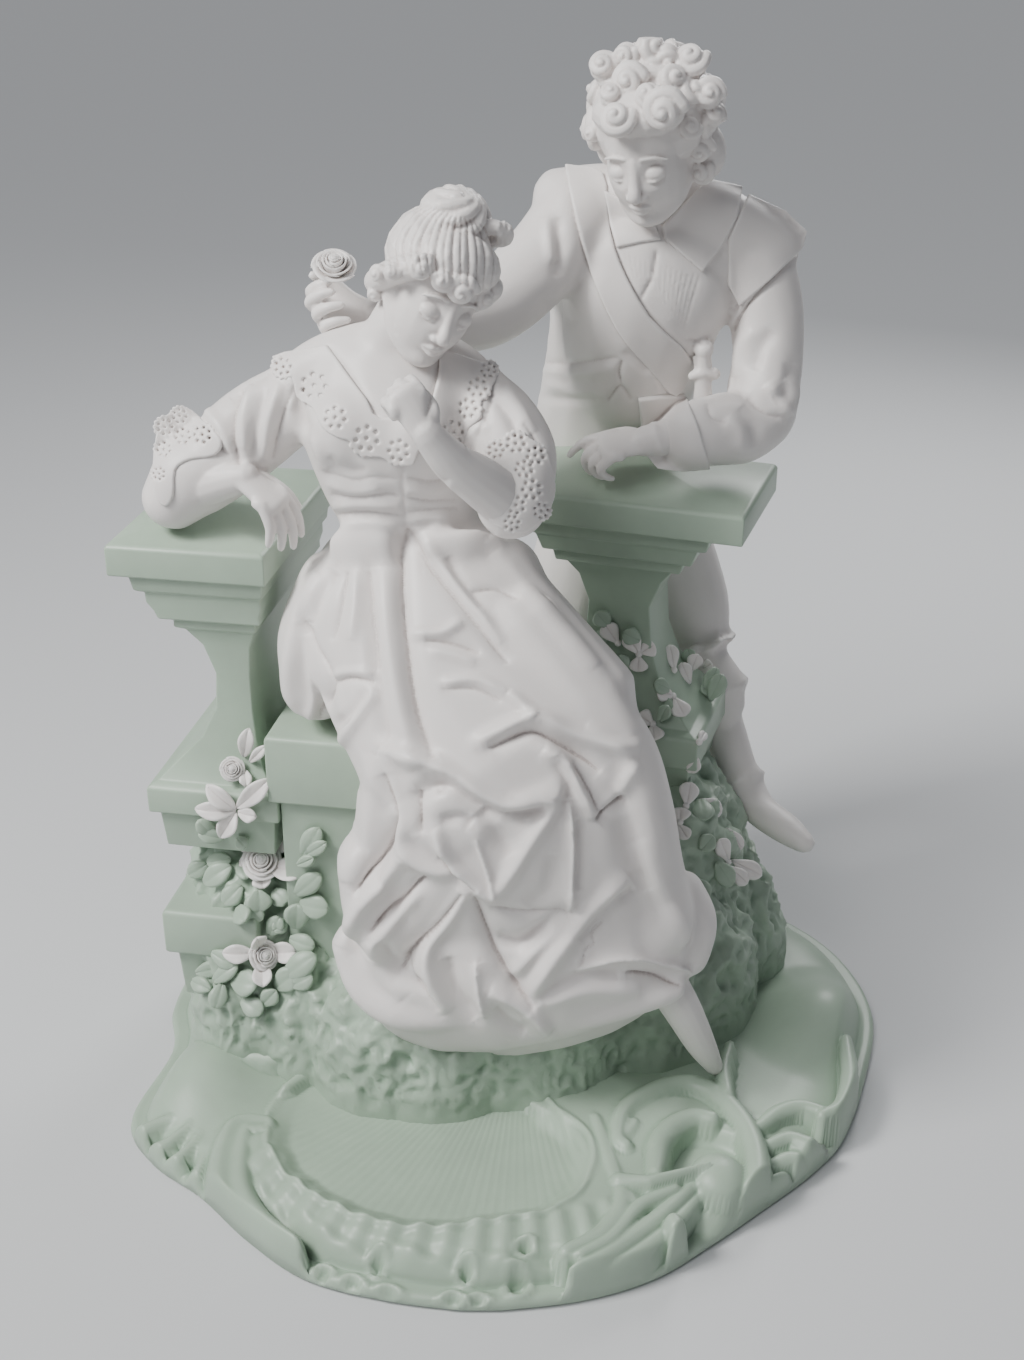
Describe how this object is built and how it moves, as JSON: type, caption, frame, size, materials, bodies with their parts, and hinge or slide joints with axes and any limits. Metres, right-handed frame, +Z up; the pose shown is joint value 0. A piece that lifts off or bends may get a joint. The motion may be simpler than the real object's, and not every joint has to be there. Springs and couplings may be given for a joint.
{
  "type": "figurine group",
  "caption": "Bisque porcelain group of a seated lady and a gentleman leaning over a balustrade, in white on a pale green scrolled rock base with roses and clover.",
  "frame": {"origin": "middle of the underside of the base, under the middle of the whole group", "axes": "+Z up, +X to the viewer's right, +Y away from the viewer who faces the lady"},
  "size_m": [0.2518, 0.2356, 0.3252],
  "materials": {
    "green_bisque": "unglazed green tinted bisque porcelain, faint sheen",
    "white_bisque": "unglazed white bisque porcelain, faint sheen"
  },
  "bodies": {
    "root": {"base": "green_bisque", "lady": "white_bisque", "gentleman": "white_bisque", "rose_in_hand": "white_bisque", "rose_spray_upper": "white_bisque", "rose_middle": "white_bisque", "rose_lower": "white_bisque", "clover_sprig_1": "white_bisque", "clover_sprig_2": "white_bisque", "clover_sprig_3": "white_bisque", "clover_sprig_4": "white_bisque", "clover_sprig_5": "white_bisque", "clover_sprig_6": "white_bisque", "clover_sprig_7": "white_bisque", "clover_sprig_8": "white_bisque", "clover_sprig_9": "white_bisque"}
  },
  "joints": []
}
